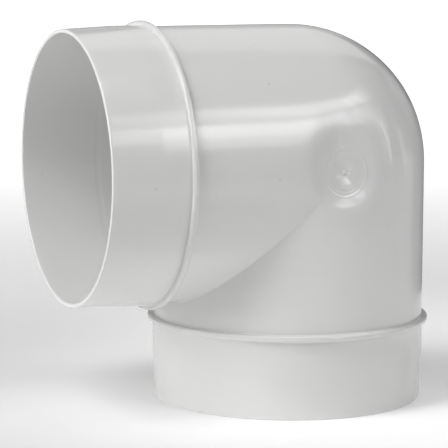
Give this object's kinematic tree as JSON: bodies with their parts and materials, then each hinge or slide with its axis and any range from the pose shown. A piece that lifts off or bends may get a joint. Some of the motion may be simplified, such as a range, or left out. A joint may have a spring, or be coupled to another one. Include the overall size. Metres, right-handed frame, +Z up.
{
  "type": "pipe elbow",
  "caption": "One-piece moulded 90 degree elbow for round thin-walled pipe: two equal tapered spigots with stop beads, a sharp mitred throat and a rounded heel.",
  "frame": {"origin": "centre of the lower mouth, on its rim's plane, where the elbow stands", "axes": "+Z up the lower leg's axis; -X out of the side mouth; the gate mark is on the -Y cheek"},
  "size_m": [0.1388, 0.1034, 0.1388],
  "materials": {
    "pvc": "satin white moulded PVC"
  },
  "bodies": {
    "root": {"side_spigot": "pvc", "side_stop_bead": "pvc", "side_barrel": "pvc", "heel": "pvc", "gate_mark": "pvc", "lower_barrel": "pvc", "lower_stop_bead": "pvc", "lower_spigot": "pvc"}
  },
  "joints": []
}
